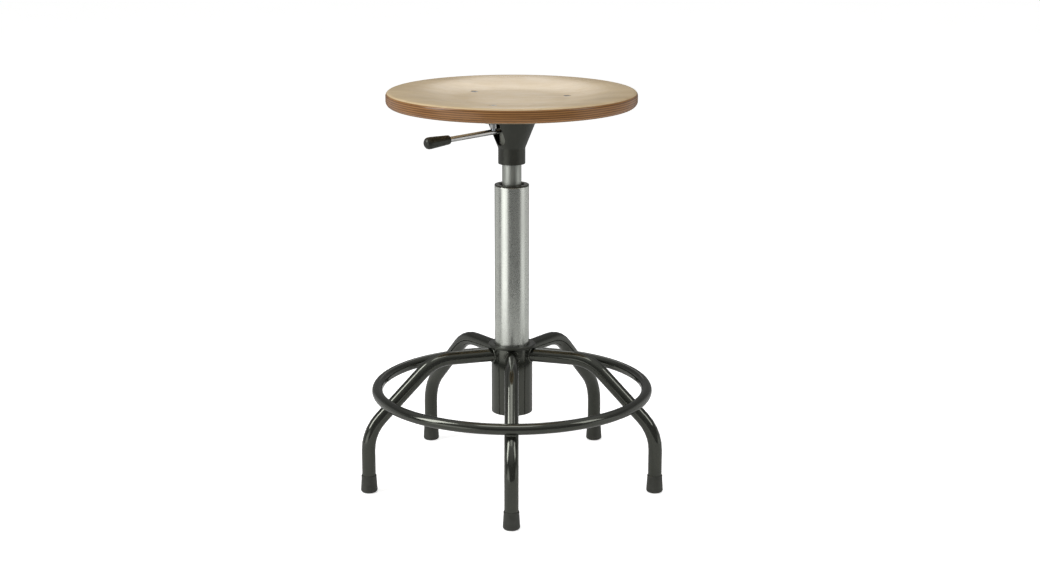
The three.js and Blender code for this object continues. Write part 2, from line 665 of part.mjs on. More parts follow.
// A planar path of straights and bends, drawn in X and Z, whose rings stand only where the tube turns.
class BentPath extends THREE.Curve {
  constructor(corners, bendRadii) {
    super();
    this.stations = [];
    this.addStation(corners[0], corners[1].clone().sub(corners[0]));
    bendRadii.forEach((radius, i) => {
      this.addBend(corners[i], corners[i + 1], corners[i + 2], radius);
    });
    const [before, last] = corners.slice(-2);
    this.addStation(last, last.clone().sub(before));
  }

  addStation(position, direction) {
    const tangent = new THREE.Vector3(direction.x, 0, direction.y).normalize();
    this.stations.push({ position: new THREE.Vector3(position.x, 0, position.y), tangent });
  }

  addBend(before, corner, after, radius) {
    const way = corner.clone().sub(before).normalize();
    const turn = after.clone().sub(corner).angle() - way.angle();
    const angle = THREE.MathUtils.euclideanModulo(turn + Math.PI, 2 * Math.PI) - Math.PI;
    const side = Math.sign(angle);
    const start = corner.clone().addScaledVector(way, -radius * Math.tan(Math.abs(angle) / 2));
    const centre = start.clone().add(new THREE.Vector2(-way.y, way.x).multiplyScalar(side * radius));
    for (let i = 0; i <= BEND_STEPS; i += 1) {
      const swept = (angle * i) / BEND_STEPS;
      const position = start.clone().rotateAround(centre, swept);
      this.addStation(position, way.clone().rotateAround(new THREE.Vector2(), swept));
    }
  }

  station(t) {
    return this.stations[Math.round(t * (this.stations.length - 1))];
  }

  getPoint(t) {
    return this.station(t).position.clone();
  }

  getTangent(t) {
    return this.station(t).tangent.clone();
  }

  getUtoTmapping(u) {
    return u;
  }
}

// A tube out of the hub, down a 45 degree slope and upright into its foot, open at both ends.
function legGeometry() {
  const kneeToAnkle = LEG_FOOT_REACH - LEG_KNEE_REACH;
  const path = new BentPath(
    points([
      [COLUMN_RADIUS, LEG_HEIGHT],
      [LEG_KNEE_REACH, LEG_HEIGHT],
      [LEG_FOOT_REACH, LEG_HEIGHT - kneeToAnkle],
      [LEG_FOOT_REACH, FOOT_SOLE + CLEARANCE],
    ]),
    [KNEE_BEND_RADIUS, ANKLE_BEND_RADIUS],
  );
  const section = new THREE.Shape(points(polygon(0, 0, LEG_TUBE_RADIUS, FASTENER_SIDES)));
  const bore = polygon(0, 0, LEG_TUBE_RADIUS - LEG_WALL, FASTENER_SIDES / 2);
  section.holes.push(new THREE.Path(points(bore)));
  const options = { extrudePath: path, steps: path.stations.length - 1, bevelEnabled: false };
  const hubWall = turned([
    [0, HUB_BOTTOM],
    [HUB_RADIUS + CLEARANCE, HUB_BOTTOM],
    [HUB_RADIUS + CLEARANCE, HUB_TOP + CUT_MARGIN],
    [0, HUB_TOP + CUT_MARGIN],
  ], RING_SIDES);
  return cut(new THREE.ExtrudeGeometry(section, options), hubWall);
}

function footGeometry() {
  const bore = LEG_TUBE_RADIUS + CLEARANCE;
  return turned([
    [0, 0],
    [FOOT_SOLE_RADIUS, 0],
    [FOOT_SOLE_RADIUS + FOOT_CHAMFER, FOOT_CHAMFER],
    [FOOT_BASE_RADIUS, FOOT_BULGE_HEIGHT],
    [FOOT_TOP_RADIUS, FOOT_HEIGHT - FOOT_LIP],
    [FOOT_TOP_RADIUS - FOOT_LIP, FOOT_HEIGHT],
    [bore, FOOT_HEIGHT],
    [bore, FOOT_SOLE],
    [0, FOOT_SOLE],
  ]).translate(LEG_FOOT_REACH, 0, 0);
}

// A tube bent into a full circle, with a vent hole on its inner side as welded frames have.
function footRing() {
  const torus = (radius, sides) => turned(
    polygon(RING_RADIUS, RING_HEIGHT, radius, sides), RING_SIDES);
  const ventEnd = RING_RADIUS - RING_TUBE_RADIUS - CUT_MARGIN;
  const vent = crossRod(RING_VENT_RADIUS, ventEnd, RING_RADIUS).translate(0, 0, RING_HEIGHT);
  const bore = torus(RING_TUBE_RADIUS - RING_WALL, FASTENER_SIDES / 2);
  return cut(torus(RING_TUBE_RADIUS, FASTENER_SIDES), bore, vent);
}

function leg(azimuth, index) {
  const arm = group(
    part(`leg_${index + 1}`, legGeometry(), BLACK_PAINT),
    part(`foot_${index + 1}`, footGeometry(), BLACK_RUBBER),
  );
  arm.rotation.z = radians(azimuth);
  return arm;
}

function base() {
  const bore = COLUMN_RADIUS + CLEARANCE;
  const collarBottom = HUB_TOP + CLEARANCE;
  const collarTop = collarBottom + COLLAR_THICKNESS;
  const hub = ringOf(bore, HUB_RADIUS, HUB_BOTTOM, HUB_TOP, LARGE_SIDES);
  const collar = turned([
    [bore, collarBottom],
    [COLLAR_RADIUS - COLLAR_CHAMFER, collarBottom],
    [COLLAR_RADIUS, collarBottom + COLLAR_CHAMFER],
    [COLLAR_RADIUS, collarTop - COLLAR_CHAMFER],
    [COLLAR_RADIUS - COLLAR_CHAMFER, collarTop],
    [bore, collarTop],
  ], LARGE_SIDES);
  return group(
    part('hub_tube', hub, BLACK_PAINT),
    part('hub_collar', collar, BLACK_PLASTIC),
    ...LEG_AZIMUTHS.map(leg),
    part('foot_ring', footRing(), BLACK_PAINT),
  );
}

// ---------------------------------------------------------------- the stool

const stool = group(
  seatBoard(),
  ...BOLT_AZIMUTHS.map(seatFasteners),
  seatBracket(),
  taperSocket(),
  coneCover(),
  releaseLever(),
  pivotPin(),
  pressureTube(),
  valve(),
  pistonRod(),
  rodEndPieces(),
  pistonPieces(),
  rodGuide(),
  thrustBearing(),
  column(),
  base(),
);
stool.position.y = COLUMN_AXIS_Y;

export default stool;
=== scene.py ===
"""The looks of the adjustable swivel stool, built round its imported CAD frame.

The stool's lengths are millimetres about the column's axis, and place() turns them into the frame's
metres. The stage's papers and lights are in metres.
"""
import math

import bmesh
import bpy
from mathutils import Matrix, Vector


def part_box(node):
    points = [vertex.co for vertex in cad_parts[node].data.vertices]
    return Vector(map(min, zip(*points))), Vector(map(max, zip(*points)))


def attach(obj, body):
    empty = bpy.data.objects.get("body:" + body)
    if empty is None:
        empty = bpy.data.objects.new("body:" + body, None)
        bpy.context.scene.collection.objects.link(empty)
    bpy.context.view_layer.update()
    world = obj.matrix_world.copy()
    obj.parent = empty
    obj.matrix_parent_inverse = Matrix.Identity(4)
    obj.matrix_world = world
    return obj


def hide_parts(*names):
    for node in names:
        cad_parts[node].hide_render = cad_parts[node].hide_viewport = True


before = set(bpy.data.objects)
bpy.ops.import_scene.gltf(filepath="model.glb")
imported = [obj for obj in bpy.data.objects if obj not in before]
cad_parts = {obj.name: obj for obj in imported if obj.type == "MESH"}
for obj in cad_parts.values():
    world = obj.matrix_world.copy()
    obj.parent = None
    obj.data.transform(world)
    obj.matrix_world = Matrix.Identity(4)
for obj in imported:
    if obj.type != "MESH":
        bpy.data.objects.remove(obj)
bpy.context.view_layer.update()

MM = 0.001
CLEARANCE = 0.3  # the gap that the CAD keeps between faces that touch
SEGMENTS = 128  # round a full turn of a large piece
LARGE_SEGMENTS = 224  # round the seat and the foot ring
SMALL_SEGMENTS = 56  # round a bolt, a foot or the lever
CUT_MARGIN = 5  # how far a cutter runs past the faces that it opens
ARC_STEP = math.radians(9)  # along a rounded edge
SHARP_DEGREES = 32  # a crease that bends more than this is shaded as an edge
ON_AXIS = 1e-6  # an outline point nearer the axis than this is a pole
BOLTS = (1, 2, 3)
LEGS = (1, 2, 3, 4, 5)
BALLS = range(1, 9)
SQUARE = ((-1, -1), (1, -1), (1, 1), (-1, 1))


# ------------------------------------------------------------------ measures taken from the frame

def column_axis():
    low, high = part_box("column_tube")
    return Vector(((low.x + high.x) / 2, (low.y + high.y) / 2, 0))


AXIS = column_axis()


class Extent:
    """A CAD node's size in millimetres: its bottom, its top and half its width."""

    def __init__(self, node):
        low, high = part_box(node)
        self.bottom = low.z / MM
        self.top = high.z / MM
        self.radius = (high.x - low.x) / MM / 2


def azimuth_of(node):
    """The direction from the column to a node's middle, in radians."""
    low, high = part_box(node)
    middle = (low + high) / 2 - AXIS
    return math.atan2(middle.y, middle.x)


def reach_of(node):
    """The distance from the column's axis to a node's middle, in millimetres."""
    low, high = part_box(node)
    middle = (low + high) / 2 - AXIS
    return math.hypot(middle.x, middle.y) / MM


SEAT = Extent("seat_board")
BRACKET = Extent("seat_bracket")
SOCKET = Extent("taper_socket")
COVER = Extent("cone_cover")
TUBE = Extent("pressure_tube")
BUSH = Extent("guide_bush")
COLUMN = Extent("column_tube")
HUB = Extent("hub_tube")
COLLAR = Extent("hub_collar")
RING = Extent("foot_ring")
FOOT = Extent("foot_1")
BOLT_REACH = reach_of("seat_bolt_1")
FOOT_REACH = reach_of("foot_1")
LEVER_AZIMUTH = azimuth_of("lever_grip")

# Shape values that the frame's boxes can't tell, the same as the CAD's.
SEAT_THICKNESS = 21
DISH_DEPTH = 10
DISH_FLAT_RADIUS = 70
DISH_RIM_RADIUS = 165
LEVER_HEIGHT = 525.3
LEVER_DROOP = math.radians(2.5)
LEVER_RADIUS = 4
LEVER_LENGTH = 151.9
LEVER_INNER_END = -4
PIVOT_REACH = 15.3
PIVOT_PIN_RADIUS = 2
GRIP_LENGTH = 41
GRIP_SMALL_RADIUS = 6.5
GRIP_LARGE_RADIUS = 8.6
GRIP_BLIND_END = 12
TUBE_BORE = 12.4
BUSH_FLANGE = 1.7
BUSH_FUNNEL = 4
COLUMN_WALL = 2
COLUMN_FLOOR = 3
COLUMN_FLOOR_HOLE = 5.6
LEG_RADIUS = 10
LEG_HEIGHT = 191.7
KNEE_REACH = 119
KNEE_BEND = 60
FOOT_SOLE = 5
FOOT_BASE_RADIUS = 12.45
FOOT_TOP_RADIUS = 11.2
ANKLE_BEND = 66
RING_RADIUS = (RING.top - RING.bottom) / 2
RING_REACH = RING.radius - RING_RADIUS
RING_MIDDLE = (RING.bottom + RING.top) / 2
NECK_RADIUS = 19.6
NECK_TOP = 497.9
COVER_WALL = 2
SLOT_HALF_WIDTH = 13
SLOT_BOTTOM = 502.5
SEAT_LOWER_EDGE = 8
SEAT_UPPER_EDGE = 6
BRACKET_ARM_HALF_WIDTH = 14
BRACKET_HUB_RADIUS = 34
BOLT_RADIUS = 2.5
BOLT_HEAD_RADIUS = 5.3
BOLT_HEAD_DEPTH = 3.4
NUT_ACROSS_FLATS = 8
COVER_GAP = 0.5  # between the cover's lip and the pressure tube

# Choices of the looks alone.
DISH_CENTRE_RADII = (0, 25, 50)  # the rings of points on the dish's flat middle
RECESS_DEGREES = 35  # the turn of every cross recess
SOCKET_GAP = 0.2  # between the socket's bore, straight here, and the pressure tube
LEVER_ROOM = 0.9  # round the lever in the socket's window


# ------------------------------------------------------------------ outlines and meshes

def rounded(corners, closed=True):
    """An outline of (x, y, radius) corners as points, with an arc of its radius for each corner."""
    points = []
    count = len(corners)
    for index, (x, y, radius) in enumerate(corners):
        corner = Vector((x, y))
        at_end = not closed and index in (0, count - 1)
        if radius == 0 or at_end:
            points.append(corner)
            continue
        before = (Vector(corners[index - 1][:2]) - corner).normalized()
        after = (Vector(corners[(index + 1) % count][:2]) - corner).normalized()
        half = before.angle(after) / 2
        start = corner + before * radius / math.tan(half)
        centre = corner + (before + after).normalized() * radius / math.sin(half)
        sweep = math.pi - 2 * half
        side = math.copysign(1, before.x * after.y - before.y * after.x)
        steps = max(2, math.ceil(sweep / ARC_STEP))
        for step in range(steps + 1):
            turn = Matrix.Rotation(-side * sweep * step / steps, 2)
            points.append(centre + turn @ (start - centre))
    return points


def sharp(*corners):
    """An outline of (x, y) corners with no rounding."""
    return [Vector(corner) for corner in corners]


def arc_points(x, y, radius, start, end, steps):
    """Points along an arc about (x, y), both its ends among them."""
    points = []
    for step in range(steps + 1):
        angle = start + (end - start) * step / steps
        points.append(Vector((x + radius * math.cos(angle), y + radius * math.sin(angle))))
    return points


def place(point):
    """A point in millimetres about the column's axis, in the frame's metres."""
    return Vector(point) * MM + AXIS


def mesh_object(name, vertices, faces, sharp_degrees=SHARP_DEGREES):
    """A smooth-shaded object of points in millimetres, its faces turned outwards."""
    mesh = bpy.data.meshes.new(name)
    mesh.from_pydata([place(v) for v in vertices], [], faces)
    mesh.validate()
    solid = bmesh.new()
    solid.from_mesh(mesh)
    bmesh.ops.recalc_face_normals(solid, faces=solid.faces)
    solid.to_mesh(mesh)
    solid.free()
    obj = bpy.data.objects.new(name, mesh)
    bpy.context.scene.collection.objects.link(obj)
    shade(obj, sharp_degrees)
    return obj


def shade(obj, sharp_degrees):
    """Smooth shading with edges at the creases."""
    obj.data.shade_smooth()
    obj.data.set_sharp_from_angle(angle=math.radians(sharp_degrees))


def turned(name, outline, segments=SEGMENTS, move=Matrix.Identity(4)):
    """A solid of revolution about Z. Outline points on the axis become a single pole."""
    vertices = []
    rings = []
    for x, z in outline:
        if abs(x) < ON_AXIS:
            rings.append([len(vertices)] * segments)
            vertices.append(move @ Vector((0, 0, z)))
            continue
        rings.append(list(range(len(vertices), len(vertices) + segments)))
        for step in range(segments):
            angle = 2 * math.pi * step / segments
            vertices.append(move @ Vector((x * math.cos(angle), x * math.sin(angle), z)))
    pairs = list(zip(rings, rings[1:]))
    if abs(outline[0][0]) >= ON_AXIS:
        pairs.append((rings[-1], rings[0]))
    faces = []
    for low, high in pairs:
        for step in range(segments):
            following = (step + 1) % segments
            corners = [low[step], low[following], high[following], high[step]]
            face = list(dict.fromkeys(corners))
            if len(face) > 2:
                faces.append(face)
    return mesh_object(name, vertices, faces)


def bush_outline(inner, outer, bottom, top, edge):
    """The outline of a plain bush, its four corners rounded by the edge."""
    return rounded([
        (inner, bottom, edge),
        (outer, bottom, edge),
        (outer, top, edge),
        (inner, top, edge),
    ])


def swept(name, rings, sharp_degrees=SHARP_DEGREES, loop=False):
    """A skin over rings of as many points each, closed into a loop or capped at both ends."""
    sides = len(rings[0])
    vertices = [point for ring in rings for point in ring]
    count = len(rings)
    faces = []
    for index in range(count if loop else count - 1):
        low = index * sides
        high = ((index + 1) % count) * sides
        for step in range(sides):
            following = (step + 1) % sides
            faces.append([low + step, low + following, high + following, high + step])
    if not loop:
        faces.append(list(range(sides)))
        faces.append(list(range((count - 1) * sides, count * sides)))
    return mesh_object(name, vertices, faces, sharp_degrees)


def extruded(name, outline, bottom, top, edge, move=Matrix.Identity(4)):
    """A flat plate with both its rims chamfered by the edge."""
    count = len(outline)
    rings = []
    for inset, height in ((edge, bottom), (0, bottom + edge), (0, top - edge), (edge, top)):
        ring = []
        for index in range(count):
            tangent = outline[(index + 1) % count] - outline[index - 1]
            normal = Vector((tangent.y, -tangent.x)).normalized()
            point = outline[index] - normal * inset
            ring.append(move @ Vector((point.x, point.y, height)))
        rings.append(ring)
    return swept(name, rings, sharp_degrees=40)


def carve(obj, cutters):
    """Cuts the cutters out of the object and deletes them."""
    for cutter in cutters:
        modifier = obj.modifiers.new("cut", "BOOLEAN")
        modifier.operation = "DIFFERENCE"
        modifier.solver = "EXACT"
        modifier.object = cutter
    depsgraph = bpy.context.evaluated_depsgraph_get()
    cut = bpy.data.meshes.new_from_object(obj.evaluated_get(depsgraph))
    obj.modifiers.clear()
    obj.data = cut
    for cutter in cutters:
        bpy.data.objects.remove(cutter)
    shade(obj, SHARP_DEGREES)


def about_axis(azimuth, reach=0, height=0):
    """The move that takes the axis at the origin to a place at that azimuth and reach from it."""
    return Matrix.Rotation(azimuth, 4, "Z") @ Matrix.Translation((reach, 0, height))


# ------------------------------------------------------------------ shader building blocks

INPUT_NAMES = {
    "metallic": "Metallic",
    "specular": "Specular IOR Level",
    "coat_weight": "Coat Weight",
    "coat_roughness": "Coat Roughness",
    "sheen_weight": "Sheen Weight",
    "sheen_roughness": "Sheen Roughness",
    "tint": "Specular Tint",
    "glow_color": "Emission Color",
    "glow": "Emission Strength",
}
OLIVE = (0.97, 1.0, 0.87, 1)  # the faint cast of the black finishes' gloss
WHITE = (1, 1, 1, 1)


class Shader:
    """A material with a Principled shader, and short calls that add its texture nodes."""

    def __init__(self, name, **values):
        self.material = bpy.data.materials.new(name)
        self.material.use_nodes = True
        self.nodes = self.material.node_tree.nodes
        self.links = self.material.node_tree.links
        self.surface = self.nodes["Principled BSDF"]
        for key, value in values.items():
            self.surface.inputs[INPUT_NAMES[key]].default_value = value
        self.position = self.nodes.new("ShaderNodeTexCoord").outputs["Object"]

    def link(self, output, target):
        self.links.new(output, target)

    def feed(self, socket, value):
        if isinstance(value, bpy.types.NodeSocket):
            self.link(value, socket)
        else:
            socket.default_value = value

    def stretched(self, scale):
        node = self.nodes.new("ShaderNodeMapping")
        node.inputs["Scale"].default_value = scale
        self.link(self.position, node.inputs["Vector"])
        return node.outputs["Vector"]

    def noise(self, scale, vector=None, detail=4, roughness=0.55, distortion=0):
        node = self.nodes.new("ShaderNodeTexNoise")
        node.inputs["Scale"].default_value = scale
        node.inputs["Detail"].default_value = detail
        node.inputs["Roughness"].default_value = roughness
        node.inputs["Distortion"].default_value = distortion
        self.link(vector or self.position, node.inputs["Vector"])
        return node.outputs["Fac"]

    def math(self, operation, first, second=0.0, third=0.0, clamp=False):
        node = self.nodes.new("ShaderNodeMath")
        node.operation = operation
        node.use_clamp = clamp
        for socket, value in zip(node.inputs, (first, second, third)):
            self.feed(socket, value)
        return node.outputs[0]

    def remap(self, value, low, high, to_low, to_high):
        node = self.nodes.new("ShaderNodeMapRange")
        node.interpolation_type = "SMOOTHSTEP"
        for socket, item in zip(node.inputs, (value, low, high, to_low, to_high)):
            self.feed(socket, item)
        return node.outputs[0]

    def ramp(self, value, stops):
        node = self.nodes.new("ShaderNodeValToRGB")
        elements = node.color_ramp.elements
        while len(elements) < len(stops):
            elements.new(0.5)
        for element, (position, color) in zip(elements, stops):
            element.position = position
            element.color = (*color, 1)
        self.link(value, node.inputs["Fac"])
        return node.outputs["Color"]

    def mix(self, factor, first, second, blend="MIX"):
        node = self.nodes.new("ShaderNodeMix")
        node.data_type = "RGBA"
        node.blend_type = blend
        self.feed(node.inputs["Factor"], factor)
        for socket, value in ((node.inputs[6], first), (node.inputs[7], second)):
            self.feed(socket, value if isinstance(value, bpy.types.NodeSocket) else (*value, 1))
        return node.outputs[2]

    def split(self):
        node = self.nodes.new("ShaderNodeSeparateXYZ")
        self.link(self.position, node.inputs[0])
        return node.outputs

    def radius(self):
        """The distance from the column's axis, in metres."""
        x, y, _ = self.split()
        across = self.math("SUBTRACT", x, AXIS.x)
        along = self.math("SUBTRACT", y, AXIS.y)
        squares = self.math("ADD", self.math("MULTIPLY", across, across),
                            self.math("MULTIPLY", along, along))
        return self.math("SQRT", squares)

    def color(self, value):
        self.link(value, self.surface.inputs["Base Color"])

    def roughness(self, value):
        self.link(value, self.surface.inputs["Roughness"])

    def bump(self, height, strength, distance):
        node = self.nodes.new("ShaderNodeBump")
        node.inputs["Strength"].default_value = strength
        node.inputs["Distance"].default_value = distance
        self.link(height, node.inputs["Height"])
        self.link(node.outputs["Normal"], self.surface.inputs["Normal"])


# ------------------------------------------------------------------ materials

PLY_THICKNESS = 1.5
PLY_WAVE = 0.9  # how far the plies wander up and down
FACE_SKIN = 2.0  # the pale veneer at the top of the edge; the one below is half as thick
FACE_FADE = 0.15
PLIES_REACH = 8  # how far in from the edge the plies' colour goes


def plywood():
    """Pale satin-lacquered veneer above, the same veneer mixed darker below the board's middle, and
    browner plies round the edge.
    """
    s = Shader("plywood", specular=0.12, coat_weight=0.5, coat_roughness=0.2)
    figure = s.noise(1, s.stretched((3, 26, 26)), detail=5, roughness=0.6, distortion=0.4)
    fibres = s.noise(1, s.stretched((16, 520, 520)), detail=5, roughness=0.6)
    pores = s.noise(1, s.stretched((60, 1500, 1500)), detail=2)
    veneer = s.ramp(figure, [
        (0.30, (0.535, 0.398, 0.224)),
        (0.52, (0.620, 0.475, 0.280)),
        (0.72, (0.700, 0.547, 0.334)),
    ])
    veneer = s.mix(s.remap(fibres, 0.35, 0.68, 0.0, 0.42), veneer, (0.470, 0.340, 0.184))
    veneer = s.mix(s.remap(pores, 0.60, 0.74, 0.0, 0.30), veneer, (0.305, 0.200, 0.102))

    ply = PLY_THICKNESS * MM
    wobble = s.math("MULTIPLY", s.noise(14, detail=2), PLY_WAVE * MM)
    height = s.math("ADD", s.split()[2], wobble)
    saw = s.math("FRACT", s.math("DIVIDE", height, 2 * ply))
    alternate = s.remap(s.math("PINGPONG", s.math("MULTIPLY", saw, 2), 1), 0.42, 0.58, 0, 1)
    glue = s.math("PINGPONG", s.math("DIVIDE", height, ply), 0.5)
    streaks = s.noise(1, s.stretched((22, 22, 900)), detail=5, roughness=0.65)
    long_grain = s.ramp(streaks, [(0.30, (0.195, 0.088, 0.026)), (0.70, (0.335, 0.160, 0.047))])
    end_grain = s.ramp(streaks, [(0.30, (0.088, 0.038, 0.012)), (0.70, (0.155, 0.070, 0.022))])
    plies = s.mix(alternate, end_grain, long_grain)
    plies = s.mix(s.remap(glue, 0.0, 0.09, 0.55, 0.0), plies, (0.060, 0.028, 0.016))

    top = SEAT.top * MM
    underside = top - SEAT_THICKNESS * MM
    skin = FACE_SKIN * MM
    fade = FACE_FADE * MM
    below_top = s.remap(s.split()[2], top - skin - fade, top - skin + fade, 1, 0)
    lower_skin = underside + skin / 2
    above_bottom = s.remap(s.split()[2], lower_skin - fade, lower_skin + fade, 0, 1)
    border = (SEAT.radius - PLIES_REACH) * MM
    outside = s.remap(s.radius(), border - MM / 2, border + MM / 2, 0, 1)
    on_edge = s.math("MULTIPLY", s.math("MULTIPLY", below_top, above_bottom), outside)
    # Below the board's middle the veneer is mixed 60 % towards a dark brown, so the underside comes
    # out darker.
    middle = top - (DISH_DEPTH + SEAT_THICKNESS) / 2 * MM
    darker_below_middle = s.remap(s.split()[2], middle - MM, middle + MM, 0.6, 0)
    faces = s.mix(darker_below_middle, veneer, (0.150, 0.095, 0.050))
    s.color(s.mix(on_edge, faces, plies))
    scuffs = s.noise(30, detail=6, roughness=0.7)
    s.roughness(s.remap(scuffs, 0.3, 0.7, 0.33, 0.46))
    edge_height = s.math("MULTIPLY", s.math("ADD", alternate, streaks), on_edge)
    relief = s.math("ADD", s.math("MULTIPLY", fibres, 0.5), edge_height)
    s.bump(relief, 0.25, 0.12 * MM)
    return s.material


def black_paint():
    """Semi-gloss powder coat with a faint orange peel and a few rubbed patches."""
    s = Shader("black_paint", specular=1.0, tint=OLIVE)
    patches = s.noise(18, detail=5, roughness=0.6)
    s.color(s.ramp(patches, [(0.35, (0.0062, 0.0069, 0.0054)), (0.70, (0.0095, 0.0102, 0.0083))]))
    s.roughness(s.remap(s.noise(70, detail=5), 0.3, 0.7, 0.10, 0.16))
    peel = s.noise(620, detail=3)
    s.bump(peel, 0.10, 0.06 * MM)
    return s.material


def black_plastic(name, level, rough):
    """Moulded plastic with a fine spark-eroded grain."""
    s = Shader(name, specular=0.45, tint=OLIVE)
    patches = s.noise(40, detail=4)
    dark = (level, level * 1.04, level * 0.90)
    light = tuple(channel * 1.5 for channel in dark)
    s.color(s.ramp(patches, [(0.3, dark), (0.7, light)]))
    grain = s.noise(1500, detail=3, roughness=0.6)
    s.roughness(s.remap(grain, 0.3, 0.7, rough - 0.06, rough + 0.08))
    s.bump(grain, 0.22, 0.08 * MM)
    return s.material


def black_rubber():
    """Satin rubber with dust in its pores."""
    s = Shader("black_rubber", specular=0.5, tint=OLIVE, sheen_weight=0.08, sheen_roughness=0.5)
    dust = s.noise(60, detail=6, roughness=0.7)
    s.color(s.ramp(dust, [(0.40, (0.0175, 0.0182, 0.0160)), (0.80, (0.0400, 0.0400, 0.0360))]))
    s.roughness(s.remap(dust, 0.3, 0.7, 0.42, 0.60))
    s.bump(s.noise(900, detail=4), 0.25, 0.10 * MM)
    return s.material


def satin_zinc():
    """The column's plated finish: fine speckle, faint drawing lines and clouded gloss."""
    s = Shader("satin_zinc", metallic=1.0)
    speckle = s.noise(900, detail=3, roughness=0.7)
    lines = s.noise(1, s.stretched((700, 700, 9)), detail=3)
    clouds = s.noise(22, detail=4)
    tone = s.ramp(speckle, [(0.30, (0.548, 0.565, 0.520)), (0.70, (0.762, 0.785, 0.728))])
    s.color(s.mix(s.remap(lines, 0.35, 0.65, 0.0, 0.25), tone, (0.489, 0.505, 0.463)))
    s.roughness(s.math("ADD", s.remap(clouds, 0.3, 0.7, 0.20, 0.27),
                       s.remap(speckle, 0.3, 0.7, 0, 0.08)))
    s.bump(s.math("ADD", speckle, lines), 0.10, 0.04 * MM)
    return s.material


def polished(name, color, rough, streak_scale):
    """Bright drawn or turned metal: fine streaks across the given stretch and uneven gloss."""
    s = Shader(name, metallic=1.0)
    streaks = s.noise(1, s.stretched(streak_scale), detail=4, roughness=0.6)
    clouds = s.noise(35, detail=5)
    darker = tuple(channel * 0.80 for channel in color)
    s.color(s.ramp(streaks, [(0.30, darker), (0.70, color)]))
    s.roughness(s.math("ADD", s.remap(clouds, 0.3, 0.7, rough, rough * 1.5),
                       s.remap(streaks, 0.3, 0.7, 0, rough * 0.4)))
    s.bump(streaks, 0.08, 0.03 * MM)
    return s.material


MATERIALS = {
    "plywood": plywood(),
    "black_paint": black_paint(),
    "black_plastic": black_plastic("black_plastic", 0.0150, 0.40),
    "grip_plastic": black_plastic("grip_plastic", 0.0110, 0.32),
    # The socket's grey is partly bare phosphated steel and partly painted light: it is paler than
    # its black finish so the shaded inside of the lever's slot looks lit.
    "socket_steel_painted_fill": black_plastic("socket_steel_painted_fill", 0.1200, 0.40),
    "black_rubber": black_rubber(),
    "satin_column": satin_zinc(),
    "chrome_tube": polished("chrome_tube", (0.455, 0.475, 0.436), 0.30, (600, 600, 12)),
    "lever_steel": polished("lever_steel", (0.68, 0.68, 0.67), 0.15, (40, 40, 800)),
    "seat_fastener": polished("seat_fastener", (0.42, 0.46, 0.50), 0.22, (400, 400, 400)),
    "bright_zinc": polished("bright_zinc", (0.84, 0.85, 0.85), 0.12, (400, 400, 400)),
    "bearing_steel": polished("bearing_steel", (0.66, 0.66, 0.65), 0.20, (300, 300, 1200)),
    "brass": polished("brass", (0.78, 0.60, 0.30), 0.22, (300, 300, 1500)),
}


def dress(obj, body, slot, replaced=(), material=None):
    """Gives a piece its material and its body, and hides the CAD nodes that it stands for.

    The material is the slot's own, unless another is named.
    """
    obj.data.materials.clear()
    obj.data.materials.append(MATERIALS[material or slot])
    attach(obj, body)
    if replaced:
        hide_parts(*replaced)


# ------------------------------------------------------------------ seat

def dish_depth(radius):
    """How far the dish lies below the rim: full in the middle, on a cosine slope further out."""
    t = (radius - DISH_FLAT_RADIUS) / (DISH_RIM_RADIUS - DISH_FLAT_RADIUS)
    return DISH_DEPTH * (1 + math.cos(math.pi * min(max(t, 0), 1))) / 2


def dish_points(height, steps=26):
    """The dish's slope from its flat middle out to its rim, which is at the given height."""
    span = DISH_RIM_RADIUS - DISH_FLAT_RADIUS
    radii = [DISH_FLAT_RADIUS + span * step / steps for step in range(steps + 1)]
    return [Vector((radius, height - dish_depth(radius))) for radius in radii]


def build_seat():
    underside = SEAT.top - SEAT_THICKNESS
    below = [Vector((radius, underside - DISH_DEPTH)) for radius in DISH_CENTRE_RADII]
    above = [Vector((radius, SEAT.top - DISH_DEPTH)) for radius in DISH_CENTRE_RADII]
    edge = rounded([
        (DISH_RIM_RADIUS, underside, 0),
        (SEAT.radius, underside, SEAT_LOWER_EDGE),
        (SEAT.radius, SEAT.top, SEAT_UPPER_EDGE),
        (DISH_RIM_RADIUS, SEAT.top, 0),
    ], closed=False)
    lower = below + dish_points(underside)[:-1]
    upper = dish_points(SEAT.top)[-2::-1] + above[::-1]
    seat = turned("seat", lower + edge + upper, LARGE_SEGMENTS)
    carve(seat, [bolt_hole(index) for index in BOLTS])
    dress(seat, "seat_column", "plywood", ["seat_board"])


def bolt_place(index):
    """The move from the column's axis to a bolt's own axis."""
    return about_axis(azimuth_of(f"seat_bolt_{index}"), BOLT_REACH)


def bolt_hole(index):
    """A cutter for a bolt's shank and its countersunk head."""
    head = Extent(f"seat_bolt_{index}")
    shank = BOLT_RADIUS + CLEARANCE
    rim = BOLT_HEAD_RADIUS + CLEARANCE
    outline = sharp(
        (0, head.bottom),
        (shank, head.bottom),
        (shank, head.top - BOLT_HEAD_DEPTH),
        (rim, head.top - CLEARANCE),
        (rim, head.top + CUT_MARGIN),
        (0, head.top + CUT_MARGIN),
    )
    return turned(f"bolt_hole_{index}", outline, SMALL_SEGMENTS, bolt_place(index))


def build_seat_bolt(index):
    """A countersunk machine screw with a cross recess."""
    extent = Extent(f"seat_bolt_{index}")
    outline = rounded([
        (0, extent.bottom, 0),
        (BOLT_RADIUS, extent.bottom, 0.5),
        (BOLT_RADIUS, extent.top - BOLT_HEAD_DEPTH, 0.4),
        (BOLT_HEAD_RADIUS, extent.top - 0.7, 0.2),
        (BOLT_HEAD_RADIUS, extent.top, 0.25),
        (0, extent.top, 0),
    ], closed=False)
    screw = turned(f"seat_bolt_fine_{index}", outline, SMALL_SEGMENTS, bolt_place(index))
    carve(screw, [cross_wing(index, extent.top, quarter) for quarter in (0, 1)])
    dress(screw, "seat_column", "seat_fastener", [f"seat_bolt_{index}"])


